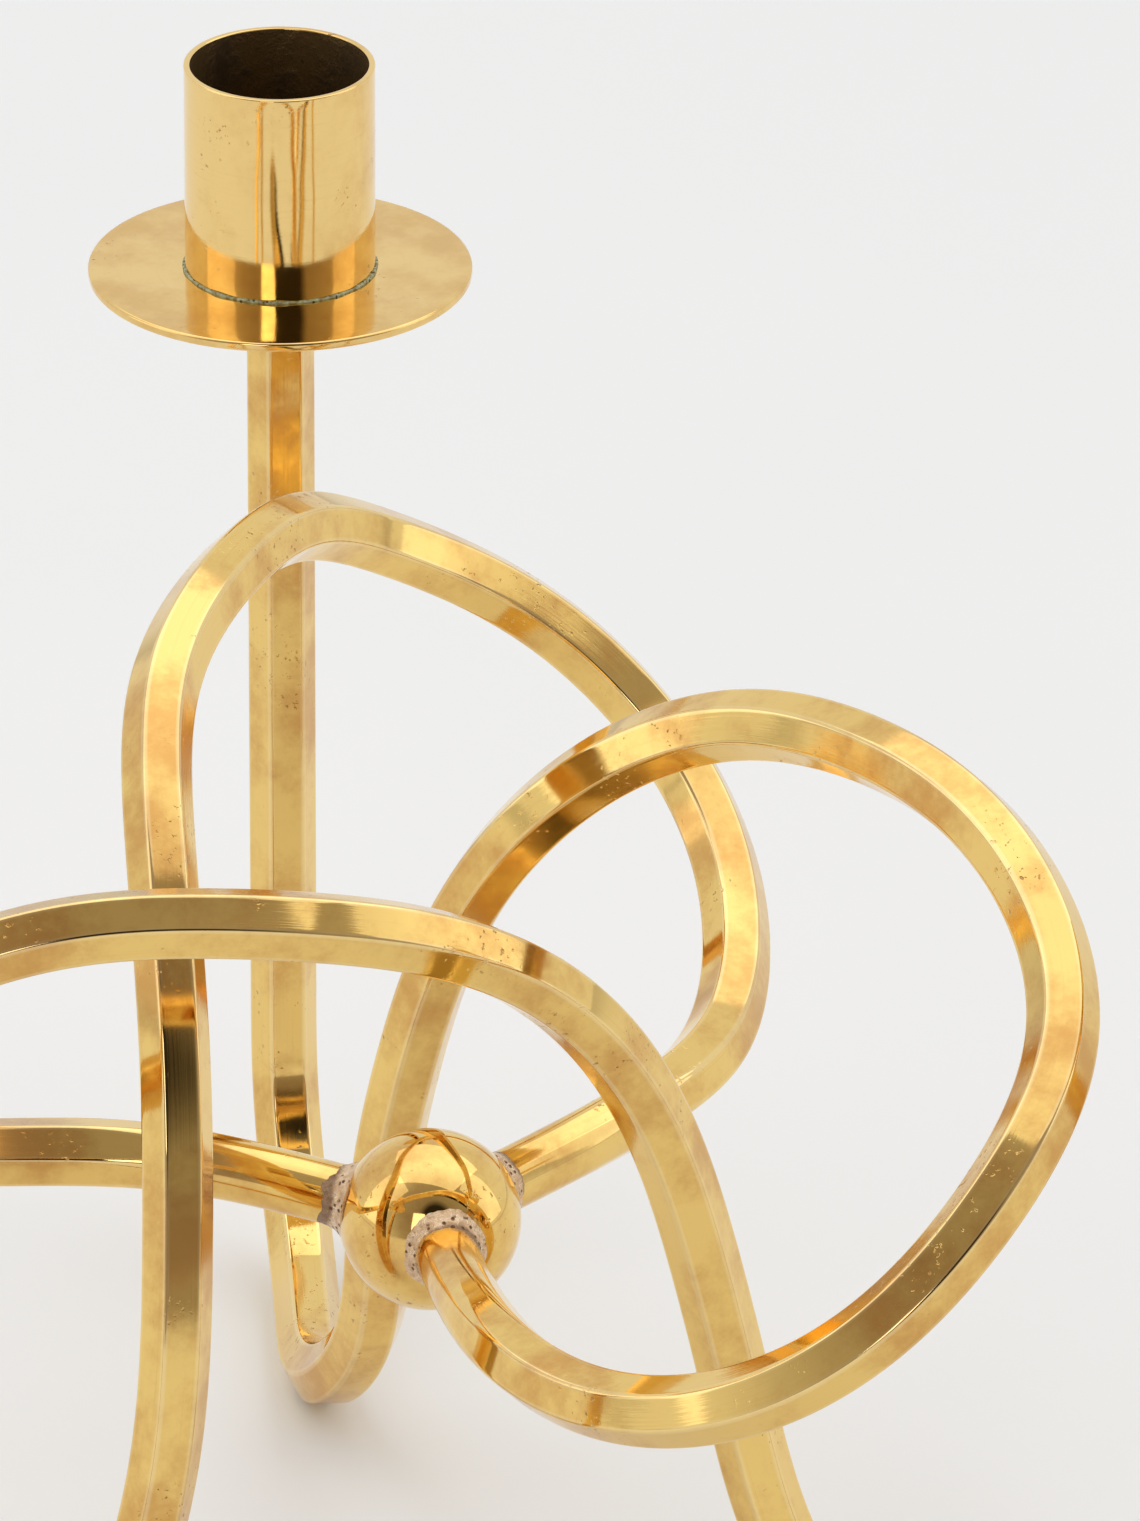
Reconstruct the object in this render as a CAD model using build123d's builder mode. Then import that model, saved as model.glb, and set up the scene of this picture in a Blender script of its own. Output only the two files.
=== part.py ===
"""Three-light tabletop candelabra of bent hexagonal brass bar, in millimetres.

The origin is on the table, under the centre of the ball, with +Z up. One arm is modelled and
turned about the ball's vertical axis for the other two, and so are the pieces it carries.
"""

from build123d import *
from math import hypot, radians, sqrt, tan
import os

# Hexagonal bar
ARM_COUNT = 3
BAR_FLATS = 7.6
BAR_SIDES = 6
BAR_EDGE_RADIUS = 0.45
BAR_ROLL = 45.0
ARC_SHARE = 0.48
FOOT_FLAT = 0.3

# Ball, and the spigot of each arm in it
BALL_RADIUS = 11.0
SPIGOT_RADIUS = 2.5
SPIGOT_DEPTH = 6.0
SPIGOT_ROOT = 2.0
SPIGOT_GAP = 0.05
SOCKET_END_GAP = 0.2

# Braze bead round each arm
BEAD_FOOT = 6.4
BEAD_RISE = 2.2
BEAD_COVER = 0.35
BEAD_HOLLOW = 0.45

# Drip tray
TRAY_RADIUS = 24.2
TRAY_THICKNESS = 1.2
TRAY_EDGE_RADIUS = 0.3

# Candle cup
CUP_RADIUS = 12.0
CUP_WALL = 0.8
CUP_HEIGHT = 27.5
CUP_FLOOR = 3.0
RIM_EDGE_RADIUS = 0.2
SOLDER_LEG = 0.5

# Countersunk screw that holds the cup and the tray on the stem
SCREW_RADIUS = 2.0
SCREW_HEAD_RADIUS = 4.0
SCREW_REACH = 8.0
SCREW_SUNK = 0.2
SLOT_WIDTH = 1.0
SLOT_DEPTH = 0.8
THREAD_GAP = 0.05
PASSING_GAP = 0.15
DRILL_RUNOFF = 1.5

# Middle line of one arm, from the ball's centre: each corner is rounded by an arc
FOOT_DROP = 58.5
STEM_X = -19.0
STEM_Y = 114.0
STEM_RISE = 74.0
CORNERS = [
    (7.0, -37.5, 3.5),
    (21.5, -56.5, 3.0),
    (48.5, -71.0, 17.0),
    (70.0, -56.5, 40.0),
    (75.5, -37.0, 50.5),
    (65.0, -16.5, 64.0),
    (40.0, 15.5, 61.0),
    (18.5, 26.5, 48.0),
    (2.5, 33.0, 25.0),
    (-7.0, 39.5, -18.0),
    (-6.0, 46.0, -39.5),
    (-14.5, 62.0, -FOOT_DROP),
    (-16.5, 98.0, -FOOT_DROP),
    (STEM_X, STEM_Y, -43.0),
]

# The lowest face of the bar is linished back to the table by FOOT_FLAT
BALL_HEIGHT = FOOT_DROP + BAR_FLATS / 2 - FOOT_FLAT
BAR_RADIUS = BAR_FLATS / sqrt(3)
BALL_CENTRE = Vector(0, 0, BALL_HEIGHT)
STEM_TOP = Vector(STEM_X, STEM_Y, BALL_HEIGHT + STEM_RISE)
TRAY_TOP = STEM_TOP + Vector(0, 0, TRAY_THICKNESS)
CUP_RIM = TRAY_TOP + Vector(0, 0, CUP_HEIGHT)
HEADING = Vector(*CORNERS[0]).normalized()
STEM_AXIS = Axis(STEM_TOP, (0, 0, 1))


def corner_radii(points):
    """Radius of the arc at each corner: it takes ARC_SHARE of the shorter run beside it."""
    radii = []
    for before, corner, after in zip(points, points[1:], points[2:]):
        run_in = corner - before
        run_out = after - corner
        half_turn = radians(run_in.get_angle(run_out)) / 2
        radii.append(ARC_SHARE * min(run_in.length, run_out.length) / tan(half_turn))
    return radii


def upright(origin):
    """Plane that stands on origin and faces the front, for a profile turned about the stem."""
    return Plane(origin, x_dir=(1, 0, 0), z_dir=(0, -1, 0))


route = [BALL_CENTRE] + [BALL_CENTRE + Vector(*corner) for corner in CORNERS] + [STEM_TOP]
radii = corner_radii(route)
print("arc radii", [round(radius, 1) for radius in radii])

# Arm: the bar starts at the ball's surface, loops over the ball, bends up at its foot
with BuildPart() as arm:
    with BuildLine() as middle_line:
        FilletPolyline(*route, radius=radii)
    with BuildSketch(Plane(BALL_CENTRE, x_dir=(0, 0, 1), z_dir=HEADING)) as bar_section:
        RegularPolygon(BAR_RADIUS, BAR_SIDES, rotation=BAR_ROLL)
        fillet(bar_section.vertices(), BAR_EDGE_RADIUS)
    sweep(path=middle_line.line)
    with Locations(BALL_CENTRE):
        Sphere(BALL_RADIUS, mode=Mode.SUBTRACT)
    spigot_end = BALL_CENTRE + HEADING * (BALL_RADIUS - SPIGOT_DEPTH)
    with BuildSketch(Plane(spigot_end, z_dir=HEADING)):
        Circle(SPIGOT_RADIUS)
    extrude(amount=SPIGOT_DEPTH + SPIGOT_ROOT)
    split(bisect_by=Plane.XY, keep=Keep.TOP)
    with Locations(STEM_TOP):
        Hole(SCREW_RADIUS + THREAD_GAP, depth=SCREW_REACH + DRILL_RUNOFF)

# Ball, with one socket for each spigot
with BuildPart() as ball:
    with Locations(BALL_CENTRE):
        Sphere(BALL_RADIUS)
    for number in range(ARM_COUNT):
        direction = HEADING.rotate(Axis.Z, number * 360 / ARM_COUNT)
        socket_end = BALL_CENTRE + direction * (BALL_RADIUS - SPIGOT_DEPTH - SOCKET_END_GAP)
        with BuildSketch(Plane(socket_end, z_dir=direction)):
            Circle(SPIGOT_RADIUS + SPIGOT_GAP)
        extrude(amount=BALL_RADIUS, mode=Mode.SUBTRACT)

# Braze bead: a hollow-sided ring in the corner between the ball and the bar
bead_foot_height = sqrt(BALL_RADIUS**2 - BEAD_FOOT**2)
bead_top_height = BALL_RADIUS + BEAD_RISE
bead_top_radius = BAR_RADIUS + BEAD_COVER
with BuildPart() as braze:
    with BuildSketch(Plane(BALL_CENTRE, x_dir=HEADING, z_dir=HEADING.cross(Vector(0, 0, 1)))):
        with BuildLine():
            foot = (bead_foot_height, BEAD_FOOT)
            top = (bead_top_height, bead_top_radius)
            middle = (
                (foot[0] + top[0]) / 2 - BEAD_HOLLOW,
                (foot[1] + top[1]) / 2 - BEAD_HOLLOW,
            )
            ThreePointArc(foot, middle, top)
            Polyline(top, (bead_top_height, 0), (BALL_RADIUS / 2, 0), (BALL_RADIUS / 2, BEAD_FOOT), foot)
        make_face()
    revolve(axis=Axis(BALL_CENTRE, HEADING))
    with Locations(BALL_CENTRE):
        Sphere(BALL_RADIUS, mode=Mode.SUBTRACT)
    add(arm.part, mode=Mode.SUBTRACT)

# Drip tray: a thin flat disc on the end of the stem
with BuildPart() as tray:
    with BuildSketch(Plane(STEM_TOP)):
        Circle(TRAY_RADIUS)
        Circle(SCREW_RADIUS + PASSING_GAP, mode=Mode.SUBTRACT)
    extrude(amount=TRAY_THICKNESS)
    fillet(tray.edges().filter_by(GeomType.CIRCLE).group_by(SortBy.RADIUS)[-1], TRAY_EDGE_RADIUS)

# Candle cup: a straight-walled cup with a countersunk floor
head_height = SCREW_HEAD_RADIUS - SCREW_RADIUS
floor_top = TRAY_TOP + Vector(0, 0, CUP_FLOOR)
with BuildPart() as cup:
    with BuildSketch(Plane(TRAY_TOP)):
        Circle(CUP_RADIUS)
    extrude(amount=CUP_HEIGHT)
    with BuildSketch(Plane(floor_top)):
        Circle(CUP_RADIUS - CUP_WALL)
    extrude(amount=CUP_HEIGHT, mode=Mode.SUBTRACT)
    fillet(cup.faces().sort_by(Axis.Z)[-1].edges(), RIM_EDGE_RADIUS)
    with Locations(floor_top):
        Hole(SCREW_RADIUS + PASSING_GAP, depth=CUP_FLOOR)
    with BuildSketch(upright(floor_top)):
        with BuildLine():
            Polyline(
                (0, 0),
                (SCREW_HEAD_RADIUS, 0),
                (SCREW_HEAD_RADIUS, -SCREW_SUNK),
                (SCREW_RADIUS, -SCREW_SUNK - head_height),
                (0, -SCREW_SUNK - head_height),
                close=True,
            )
        make_face()
    revolve(axis=STEM_AXIS, mode=Mode.SUBTRACT)

# Solder: a small ring in the corner between the cup and the tray
with BuildPart() as solder:
    with BuildSketch(upright(TRAY_TOP)):
        with BuildLine():
            Polyline(
                (CUP_RADIUS, 0),
                (CUP_RADIUS + SOLDER_LEG, 0),
                (CUP_RADIUS, SOLDER_LEG),
                close=True,
            )
        make_face()
    revolve(axis=STEM_AXIS)

# Screw: a slotted countersunk head in the cup's floor, its end in the stem
head_top = floor_top - Vector(0, 0, SCREW_SUNK)
with BuildPart() as screw:
    with BuildSketch(upright(head_top)):
        screw_length = (head_top - STEM_TOP).Z + SCREW_REACH
        with BuildLine():
            Polyline(
                (0, 0),
                (SCREW_HEAD_RADIUS, 0),
                (SCREW_RADIUS, -head_height),
                (SCREW_RADIUS, -screw_length),
                (0, -screw_length),
                close=True,
            )
        make_face()
    revolve(axis=STEM_AXIS)
    with BuildSketch(Plane(head_top)):
        Rectangle(2 * SCREW_HEAD_RADIUS, SLOT_WIDTH)
    extrude(amount=-SLOT_DEPTH, mode=Mode.SUBTRACT)

os.makedirs("parts", exist_ok=True)
ball.part.label = "ball"
export_step(ball.part, "parts/ball.step")

arm_pieces = {
    "arm": arm,
    "braze": braze,
    "drip_tray": tray,
    "candle_cup": cup,
    "cup_solder": solder,
    "cup_screw": screw,
}
for number in range(ARM_COUNT):
    for name, piece in arm_pieces.items():
        with BuildPart() as placed:
            with Locations(Location((0, 0, 0), (0, 0, number * 360 / ARM_COUNT))):
                add(piece.part)
        placed.part.label = f"{name}_{number + 1}"
        export_step(placed.part, f"parts/{placed.part.label}.step")
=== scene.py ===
# %% [markdown]
# # A three-light candelabra of bent hexagonal brass bar
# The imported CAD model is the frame: it says where every piece is and how large it is. On top of
# it come the looks: bars whose flats and edges catch the light, a mirror-bright ball, rough beads
# of braze, thin trays and straight cups, each with brass that has been handled and polished.

# %% Load the frame
import bpy
import math
import numpy as np
from mathutils import Matrix, Vector


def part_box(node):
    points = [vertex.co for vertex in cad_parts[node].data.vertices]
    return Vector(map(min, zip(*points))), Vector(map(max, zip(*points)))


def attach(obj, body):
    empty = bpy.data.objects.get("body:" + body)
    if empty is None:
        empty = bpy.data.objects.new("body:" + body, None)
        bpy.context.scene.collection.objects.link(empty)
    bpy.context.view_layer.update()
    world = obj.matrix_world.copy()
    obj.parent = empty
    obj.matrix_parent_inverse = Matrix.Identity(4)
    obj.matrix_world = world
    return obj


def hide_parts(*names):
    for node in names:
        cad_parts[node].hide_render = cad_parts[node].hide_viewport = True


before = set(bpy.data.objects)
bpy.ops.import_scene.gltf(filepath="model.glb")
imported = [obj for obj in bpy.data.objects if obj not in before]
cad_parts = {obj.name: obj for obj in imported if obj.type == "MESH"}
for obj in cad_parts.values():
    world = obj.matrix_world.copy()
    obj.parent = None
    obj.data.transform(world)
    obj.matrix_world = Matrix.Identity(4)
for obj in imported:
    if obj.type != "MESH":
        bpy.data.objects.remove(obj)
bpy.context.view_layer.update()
ARMS = (1, 2, 3)
MM = 0.001
print("nodes in the frame:", len(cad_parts))

# %% [markdown]
# ## The camera
# Seen from far away through a long lens, nothing near looks swollen. A short lens close by would
# fill the view as well, but would bend the stems and make the front loop look huge. So the
# camera stands about 1.6 metres off, looks down by a little under a third of a right angle, and
# frames the front of the candelabra closely: two of its stems stand outside the view.

# %% Place the camera
BALL_BASE, BALL_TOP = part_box("ball")
BALL_CENTRE = np.array((BALL_BASE + BALL_TOP) / 2)
DISTANCE = 1.592
ELEVATION = math.radians(28.09)
LOOK_RIGHT = math.radians(0.714)
LOOK_DOWN = math.radians(26.127)
LEAN = math.radians(-0.365)
FOCAL_LENGTH = 312.2
SHIFT_RIGHT = -0.0055
SHIFT_UP = 0.0046
FARTHEST_SEEN = 30

camera_data = bpy.data.cameras.new("camera")
camera = bpy.data.objects.new("camera", camera_data)
bpy.context.scene.collection.objects.link(camera)
camera.location = Vector(BALL_CENTRE) + DISTANCE * Vector(
    (0, -math.cos(ELEVATION), math.sin(ELEVATION))
)
camera.rotation_euler = (
    Matrix.Rotation(-LOOK_RIGHT, 3, "Z")
    @ Matrix.Rotation(math.pi / 2 - LOOK_DOWN, 3, "X")
    @ Matrix.Rotation(-LEAN, 3, "Z")
).to_euler()
camera_data.lens = FOCAL_LENGTH
camera_data.shift_x = SHIFT_RIGHT
camera_data.shift_y = SHIFT_UP
camera_data.clip_end = FARTHEST_SEEN
bpy.context.scene.camera = camera
print("camera at", [round(v, 3) for v in camera.location])

# %% [markdown]
# ## Floor and light
# Polished brass has no look of its own: it shows the room. So the room is made first. A wide
# pale floor fills the view, broad lamps stand around the object, and the sky behind the camera
# is darker, which gives the bright metal its deep amber lines. Small strong lamps would light
# the floor too, but the brass would show them as hard white spots.

# %% The pale floor
FLOOR_HALF = 4
FLOOR_SINKS = 0.3 * MM
PAPER_SHADE = (0.89, 0.90, 0.91, 1)
PAPER_LIGHT = (0.92, 0.93, 0.94, 1)
PAPER_CLOUD_SIZE = 7.0
PAPER_GLOSS = 0.2
PAPER_ROUGHNESS = 0.9

floor_corners = [
    (FLOOR_HALF * x, FLOOR_HALF * y, -FLOOR_SINKS) for x, y in ((-1, -1), (1, -1), (1, 1), (-1, 1))
]
floor_mesh = bpy.data.meshes.new("floor")
floor_mesh.from_pydata(floor_corners, [], [(0, 1, 2, 3)])
floor = bpy.data.objects.new("floor", floor_mesh)
bpy.context.scene.collection.objects.link(floor)

paper = bpy.data.materials.new("paper_sweep")
paper.use_nodes = True
paper_nodes, paper_links = paper.node_tree.nodes, paper.node_tree.links
paper_shader = paper_nodes["Principled BSDF"]
paper_shader.inputs["Specular IOR Level"].default_value = PAPER_GLOSS
paper_shader.inputs["Roughness"].default_value = PAPER_ROUGHNESS
fibre = paper_nodes.new("ShaderNodeTexNoise")
fibre.inputs["Scale"].default_value = PAPER_CLOUD_SIZE
where = paper_nodes.new("ShaderNodeTexCoord")
tint = paper_nodes.new("ShaderNodeMix")
tint.data_type = "RGBA"
tint.inputs["A"].default_value = PAPER_SHADE
tint.inputs["B"].default_value = PAPER_LIGHT
paper_links.new(where.outputs["Object"], fibre.inputs["Vector"])
paper_links.new(fibre.outputs["Fac"], tint.inputs["Factor"])
paper_links.new(tint.outputs["Result"], paper_shader.inputs["Base Color"])
floor.data.materials.append(paper)
print("floor", 2 * FLOOR_HALF, "metres wide")

# %% The lamps
LAMP_AIM = Vector((0, 0, 0.07))
# Each lamp has a place, a size in metres and a power in watts.
LAMPS = {
    "overhead_lamp": ((0.1, 0.4, 1.7), (2.6, 2.0), 10.7),
    "left_lamp": ((-1.4, -0.2, 0.9), (1.1, 1.7), 3.0),
    "right_lamp": ((1.4, 0.0, 0.8), (0.9, 1.5), 2.0),
    "front_lamp": ((-0.42, -1.45, 0.70), (0.45, 0.6), 1.8),
}
for name, (place, size, power) in LAMPS.items():
    data = bpy.data.lights.new(name, "AREA")
    data.shape = "RECTANGLE"
    data.size, data.size_y = size
    data.energy = power
    light = bpy.data.objects.new(name, data)
    light.location = place
    light.rotation_euler = (LAMP_AIM - light.location).to_track_quat("-Z", "Y").to_euler()
    bpy.context.scene.collection.objects.link(light)

# %% [markdown]
# The room around the lamps is only a colour for each direction. How far a direction points
# towards the dark side behind the camera is its dot product with one fixed arrow, and a ramp
# turns that number into a tone: bright away from the arrow, and nearly black right along it. The
# darker a tone is, the warmer it is, as in a room whose far corners are lit by its own walls.

# %% The room
DARK_SIDE = (0.12, -0.88, 0.46)
ROOM_TONES = ((0.25, 0.94), (0.67, 0.48), (0.92, 0.34), (0.965, 0.03))
GREEN_SHARE, GREEN_GAIN = 0.80, 0.22
BLUE_SHARE, BLUE_GAIN = 0.58, 0.46
ROOM_STRENGTH = 0.90

room = bpy.data.worlds.new("room")
bpy.context.scene.world = room
room.use_nodes = True
room_nodes, room_links = room.node_tree.nodes, room.node_tree.links
backdrop = room_nodes["Background"]
backdrop.inputs["Strength"].default_value = ROOM_STRENGTH
facing = room_nodes.new("ShaderNodeTexCoord")
toward = room_nodes.new("ShaderNodeVectorMath")
toward.operation = "DOT_PRODUCT"
toward.inputs[1].default_value = DARK_SIDE
shade = room_nodes.new("ShaderNodeValToRGB")
ramp = shade.color_ramp.elements
for position in (0.5, 0.9):
    ramp.new(position)
for stop, (position, tone) in zip(ramp, ROOM_TONES):
    stop.position = position
    green = tone * (GREEN_SHARE + GREEN_GAIN * tone)
    blue = tone * (BLUE_SHARE + BLUE_GAIN * tone)
    stop.color = (tone, green, blue, 1)
room_links.new(facing.outputs["Generated"], toward.inputs[0])
room_links.new(toward.outputs["Value"], shade.inputs["Fac"])
room_links.new(shade.outputs["Color"], backdrop.inputs["Color"])
bpy.context.scene.view_settings.view_transform = "Standard"
print("room tones:", [tone for _, tone in ROOM_TONES])

# %% [markdown]
# ## Skins on grids
# Every new piece is a surface on a grid: rows of points, each row a closed loop round the piece.
# Curve objects with a bevel could draw the bars too, but a grid also tells each point how far
# along and how far round it lies. Each point carries that as a "laid" coordinate, the place it
# would have on the straight bar or on the flat sheet, so that scratches can follow a bend. It
# also carries an "edge_mark" value, for what a finish does on some stretches only.

# %% A closed mesh from rows of points
def skin(name, rows, laid, edge_mark=None):
    """Closed skin over rows of shape (n, m, 3) in metres, each row a loop of m points.

    Point (i, j) joins (i, j + 1) and (i + 1, j), with j counted round the loop, and each end
    row closes on its own middle point. The sum over triangles of a corner dotted with the
    cross product of the other two is six times the volume, and is positive when the faces
    point out, so its sign says if they have to be turned over.
    """
    n, m = rows.shape[:2]
    i, j = np.meshgrid(np.arange(n - 1), np.arange(m), indexing="ij")
    k = (j + 1) % m
    quads = np.stack([i * m + j, i * m + k, (i + 1) * m + k, (i + 1) * m + j], -1).reshape(-1, 4)
    loop = np.arange(m)
    ahead = (loop + 1) % m
    start = np.stack([np.full(m, n * m), ahead, loop], -1)
    end = np.stack([np.full(m, n * m + 1), (n - 1) * m + loop, (n - 1) * m + ahead], -1)
    points = np.concatenate([rows.reshape(-1, 3), rows[:1].mean(1), rows[-1:].mean(1)])
    halves = np.concatenate([quads[:, :3], quads[:, [0, 2, 3]], start, end])
    a, b, c = points[halves[:, 0]], points[halves[:, 1]], points[halves[:, 2]]
    outward = (a * np.cross(b, c)).sum() > 0
    turn = slice(None) if outward else slice(None, None, -1)
    faces = [f[:, turn].tolist() for f in (quads, start, end)]
    mesh = bpy.data.meshes.new(name)
    mesh.from_pydata(points.tolist(), [], faces[0] + faces[1] + faces[2])
    mesh.polygons.foreach_set("use_smooth", np.ones(len(mesh.polygons), bool))
    flat = np.concatenate([laid.reshape(-1, 3), laid[:1].mean(1), laid[-1:].mean(1)])
    mesh.attributes.new("laid", "FLOAT_VECTOR", "POINT").data.foreach_set("vector", flat.ravel())
    wear = np.zeros(n * m) if edge_mark is None else edge_mark.ravel()
    wear = np.concatenate([wear, np.zeros(2)])
    mesh.attributes.new("edge_mark", "FLOAT", "POINT").data.foreach_set("value", wear)
    piece = bpy.data.objects.new(name, mesh)
    bpy.context.scene.collection.objects.link(piece)
    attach(piece, "root")
    return piece


def turned(points, number):
    """Points turned about the ball's upright axis to arm number, a third of a turn each."""
    angle = (number - 1) * 2 * math.pi / len(ARMS)
    c, s = math.cos(angle), math.sin(angle)
    return points @ np.array([[c, s, 0], [-s, c, 0], [0, 0, 1.0]])


print("one arm is followed by", len(ARMS) - 1, "copies, a third of a turn apart")

# %% [markdown]
# ## The bent bars
# Each arm is one length of hexagonal bar, bent cold round formers. Its middle line is a chain of
# straight runs whose corners are rounded by arcs. A free curve through a few points could be
# close as well, but this is how such a bar is really bent, and the CAD model walks the same way.

# %% The corners of one arm's route
STEM = (-19.0, 114.0)
STEM_RISE = 74.0
FOOT_LEVEL = -58.5
CORNERS = np.array([
    (0.0, 0.0, 0.0),
    (7.0, -37.5, 3.5),
    (21.5, -56.5, 3.0),
    (48.5, -71.0, 17.0),
    (70.0, -56.5, 40.0),
    (75.5, -37.0, 50.5),
    (65.0, -16.5, 64.0),
    (40.0, 15.5, 61.0),
    (18.5, 26.5, 48.0),
    (2.5, 33.0, 25.0),
    (-7.0, 39.5, -18.0),
    (-6.0, 46.0, -39.5),
    (-14.5, 62.0, FOOT_LEVEL),
    (-16.5, 98.0, FOOT_LEVEL),
    (*STEM, -43.0),
    (*STEM, STEM_RISE),
]) * MM + BALL_CENTRE
HEADING = (CORNERS[1] - CORNERS[0]) / np.linalg.norm(CORNERS[1] - CORNERS[0])
print("corners:", len(CORNERS), "first heading", HEADING.round(3))

# %% Walk the route
ARC_SHARE = 0.48
STEP = 1.0 * MM
FEWEST_ON_RUN, FEWEST_ON_ARC = 2, 4


def walk(corners):
    """Points and side vectors every STEP along runs whose corners are arcs.

    An arc starts ARC_SHARE of the shorter run before its corner, and its radius is that
    length over the tangent of half the turn. Along it a vector v turns about the arc's axis:
    v cos t + (axis x v) sin t + axis (axis . v)(1 - cos t).
    """
    runs = np.diff(corners, axis=0)
    lengths = np.linalg.norm(runs, axis=1)
    ways = runs / lengths[:, None]
    side = np.array([0, 0, 1.0]) - ways[0] * ways[0][2]
    side /= np.linalg.norm(side)
    here, points, sides = corners[0], [], []
    for before, after, short, corner in zip(
        ways, ways[1:], np.minimum(lengths[:-1], lengths[1:]), corners[1:]
    ):
        reach = ARC_SHARE * short
        entry = corner - before * reach
        count = max(FEWEST_ON_RUN, round(np.linalg.norm(entry - here) / STEP))
        share = np.arange(count)[:, None] / count
        points.append(here + (entry - here) * share)
        sides.append(np.tile(side, (count, 1)))
        turn = math.acos(np.clip(before @ after, -1, 1))
        radius = reach / math.tan(turn / 2)
        axis = np.cross(before, after) / math.sin(turn)
        inward = np.cross(axis, before)
        count = max(FEWEST_ON_ARC, round(radius * turn / STEP))
        t = np.append(np.arange(count) / count, 1)[:, None] * turn
        arc = entry + radius * (np.sin(t) * before + (1 - np.cos(t)) * inward)
        lifted = axis * (axis @ side) * (1 - np.cos(t))
        swung = side * np.cos(t) + np.cross(axis, side) * np.sin(t) + lifted
        points.append(arc[:-1])
        sides.append(swung[:-1])
        here, side = arc[-1], swung[-1]
    count = round(np.linalg.norm(corners[-1] - here) / STEP)
    share = np.arange(count + 1)[:, None] / count
    points.append(here + (corners[-1] - here) * share)
    sides.append(np.tile(side, (count + 1, 1)))
    return np.concatenate(points), np.concatenate(sides)


def length_along(points):
    """Running length from the first point, as the sum of the distances between neighbours."""
    return np.append(0, np.cumsum(np.linalg.norm(np.diff(points, axis=0), axis=1)))


chain, chain_side = walk(CORNERS)
chain_along = length_along(chain)
print("route of", len(chain), "points,", round(chain_along[-1] / MM), "mm long")

# %% [markdown]
# A real bender leaves no sudden change of curve, so the chain is smoothed a little along its
# length. A plain average would do it but draws each bend inwards; adding back what a second
# average takes away keeps the bends their size. The wide loops are smoothed over a longer reach
# than the tight foot and the straight stem.

# %% Ease the bends
LOOP_REACH, FOOT_REACH = 30, 9
LOOP_ENDS, FOOT_STARTS = 330 * MM, 390 * MM


def averaged(values, reach):
    """Each row becomes the weighted mean of its neighbours, with the ends held in place."""
    weights = np.hanning(2 * reach + 3)[1:-1]
    weights /= weights.sum()
    first = 2 * values[:1] - values[reach:0:-1]
    last = 2 * values[-1:] - values[-2:-reach - 2:-1]
    padded = np.concatenate([first, values, last])
    return np.stack([np.convolve(padded[:, a], weights, "valid") for a in range(3)], -1)


def eased(values, reach):
    """Twice the average less the average of the average, which keeps the size of each bend."""
    once = averaged(values, reach)
    return 2 * once - averaged(once, reach)


def smooth_step(low, high, values):
    """0 below low, 1 above high, and 3t^2 - 2t^3 of the share t between them."""
    t = np.clip((values - low) / (high - low), 0, 1)
    return t * t * (3 - 2 * t)


tight = smooth_step(LOOP_ENDS, FOOT_STARTS, chain_along)[:, None]
line = eased(chain, LOOP_REACH) * (1 - tight) + eased(chain, FOOT_REACH) * tight
way = np.gradient(line, axis=0)
way /= np.linalg.norm(way, axis=1)[:, None]
side = eased(chain_side, LOOP_REACH) * (1 - tight) + eased(chain_side, FOOT_REACH) * tight
side -= way * (side * way).sum(1)[:, None]
side /= np.linalg.norm(side, axis=1)[:, None]
across = np.cross(way, side)
along = length_along(line)
print("bar length", round(along[-1] / MM), "mm in", len(line), "sections")

# %% [markdown]
# The section is a hexagon with eased edges: a smaller hexagon, grown outwards by a small round.
# It turns only with each bend and never twists, so the same flat stays on the same side. Near
# the ball the edges were dressed after brazing, so there the round grows and the bar is nearly a
# rod. On the bars "edge_mark" marks the edges, which are painted paler there: partly for the
# brighter line that polishing leaves, and partly as a painted highlight along each edge.

# %% The hexagonal section
BAR_FLATS = 7.6 * MM
BAR_ROLL = math.radians(45.0)
EDGE_ROUND = 0.55 * MM
CORNER_STEPS = 8
FLAT_STEPS = 5


def bar_section(rounds):
    """Outline of shape (n, m, 2) of a rounded hexagon, one for each round radius given.

    Corner k of the inner hexagon, whose flats are BAR_FLATS less twice the round, moves out
    by the round along each direction between the two flats that meet there. Points shared out
    between the end of one corner and the start of the next lie on the flat between them.
    """
    rounds = np.asarray(rounds)[:, None, None, None]
    k = np.arange(6)[:, None]
    swing = np.linspace(-math.pi / 6, math.pi / 6, CORNER_STEPS)[None]
    middle = BAR_ROLL + k * math.pi / 3
    inner = (BAR_FLATS / 2 - rounds) / math.cos(math.pi / 6)
    tip = inner * np.stack([np.cos(middle), np.sin(middle)], -1)
    corner = tip + rounds * np.stack([np.cos(middle + swing), np.sin(middle + swing)], -1)
    share = np.linspace(0, 1, FLAT_STEPS + 2)[1:-1, None]
    share = 0.5 - 0.5 * np.cos(math.pi * share)
    following = np.roll(corner[:, :, :1], -1, axis=1)
    flat = corner[:, :, -1:] * (1 - share) + following * share
    return np.concatenate([corner, flat], 2).reshape(len(rounds), -1, 2)


print("points round the bar:", bar_section([EDGE_ROUND]).shape[1])

# %% Carry the section along the route
DRESSED_ROUND = 3.4 * MM
DRESSED_TO, UNTOUCHED_FROM = 18 * MM, 46 * MM
BAR_STARTS = 9 * MM

dressed = 1 - smooth_step(DRESSED_TO, UNTOUCHED_FROM, along)
keep = along > BAR_STARTS
outline = bar_section(EDGE_ROUND + (DRESSED_ROUND - EDGE_ROUND) * dressed)[keep]
bar = (
    line[keep][:, None]
    + side[keep][:, None] * outline[:, :, :1]
    + across[keep][:, None] * outline[:, :, 1:]
)
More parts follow.
